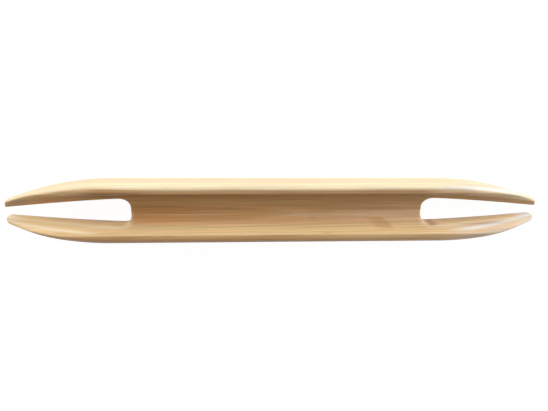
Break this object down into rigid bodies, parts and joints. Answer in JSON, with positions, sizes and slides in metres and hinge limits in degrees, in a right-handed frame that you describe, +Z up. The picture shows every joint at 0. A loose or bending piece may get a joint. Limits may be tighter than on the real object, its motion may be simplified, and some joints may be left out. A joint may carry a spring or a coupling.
{
  "type": "rug weaving shuttle",
  "caption": "One-piece wooden weaving shuttle, hollowed along both faces, with an open-mouthed slot at each forked end for winding yarn or rag strip lengthwise.",
  "frame": {"origin": "centre of the footprint, on the surface that the shuttle's lower rims rest on", "axes": "+X along the shuttle from tip to tip, +Y across it, +Z up out of the upper hollow"},
  "size_m": [0.5, 0.0576, 0.035],
  "materials": {
    "wood": "pale wood, fine straight grain, satin clear lacquer"
  },
  "bodies": {
    "root": {"shuttle_body": "wood"}
  },
  "joints": []
}
